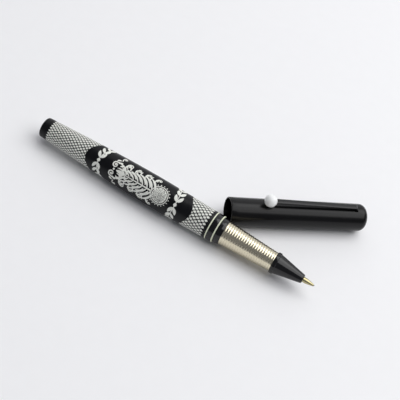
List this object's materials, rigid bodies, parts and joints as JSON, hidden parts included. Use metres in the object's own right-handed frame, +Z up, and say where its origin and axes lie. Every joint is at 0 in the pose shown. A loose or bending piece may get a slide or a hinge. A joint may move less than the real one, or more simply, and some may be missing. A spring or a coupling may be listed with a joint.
{
  "type": "rollerball pen",
  "caption": "Rollerball pen with a bulged decorated barrel, ridged steel grip and black nose, beside its long black clip cap.",
  "frame": {"origin": "centre of the flat rear end of the barrel, on the pen's axis", "axes": "+X along the pen towards the writing tip, +Z up from the table that the pen and its cap lie on"},
  "size_m": [0.1321, 0.0573, 0.0173],
  "materials": {
    "black_lacquer": "gloss black lacquer with a fine silver printed ornament",
    "brass": "turned, bright",
    "ivory_resin": "polished ivory-coloured resin",
    "gloss_black_resin": "polished black",
    "spring_steel": "drawn wire",
    "seal_rubber": "matt",
    "black_moulding": "moulded",
    "ridged_steel": "satin, with fine turned ridges",
    "refill_moulding": "moulded, pale grey",
    "ink_fibre": "ink-soaked fibre",
    "carbide": "polished ball",
    "matt_black_cap": "matt black lacquer",
    "black_clip": "polished black",
    "frosted_silver": "frosted, silver-white"
  },
  "bodies": {
    "barrel": {"barrel_tube": "black_lacquer", "barrel_end_plug": "black_lacquer", "thread_bush": "brass", "trim_ring_rear": "ivory_resin", "spacer_ring": "gloss_black_resin", "trim_ring_front": "ivory_resin", "refill_spring": "spring_steel"},
    "seal": {"section_seal": "seal_rubber"},
    "section": {"section_core": "black_moulding", "collar": "gloss_black_resin", "grip_sleeve": "ridged_steel", "nose_cone": "gloss_black_resin"},
    "refill": {"refill_tube": "refill_moulding", "refill_end_plug": "black_moulding", "ink_reservoir": "ink_fibre", "tip_holder": "refill_moulding", "feed_wick": "ink_fibre", "tip_cone": "brass"},
    "ball": {"writing_ball": "carbide"},
    "cap": {"cap_tube": "matt_black_cap", "inner_cap": "black_moulding", "clip_anchor": "black_moulding"},
    "clip": {"clip_bar": "black_clip", "clip_ball": "frosted_silver"}
  },
  "joints": [
    {"name": "cap_pull", "type": "slide", "parent": "barrel", "child": "cap", "axis": [0.7944, 0.6074, 0], "range_m": [0, 0.06]},
    {"name": "clip_flex", "type": "hinge", "parent": "cap", "child": "clip", "pos_m": [0.12557, 0.0437, 0.00545], "axis": [-0.6051, 0.7914, 0.0872], "range_deg": [0, 4], "stiffness_Nm_per_rad": 0.5, "springref_deg": -1.72},
    {"name": "section_draw", "type": "slide", "parent": "barrel", "child": "seal", "axis": [1, 0, 0], "range_m": [0, 0.00495], "deforming": ["refill_spring"]},
    {"name": "section_unscrew", "type": "hinge", "parent": "seal", "child": "section", "pos_m": [0.08375, 0, 0], "axis": [1, 0, 0], "range_deg": [0, 2377]},
    {"name": "refill_float", "type": "slide", "parent": "section", "child": "refill", "axis": [-1, 0, 0], "range_m": [0, 0.0008], "stiffness_N_per_m": 300, "springref_m": -0.004, "deforming": ["refill_spring"]},
    {"name": "ball_roll", "type": "hinge", "parent": "refill", "child": "ball", "pos_m": [0.12671, 0, 0], "axis": [0, 1, 0], "continuous": true}
  ],
  "couplings": [
    {"joint": "section_unscrew", "follows": "section_draw", "rad_per_m": 8377.6}
  ]
}
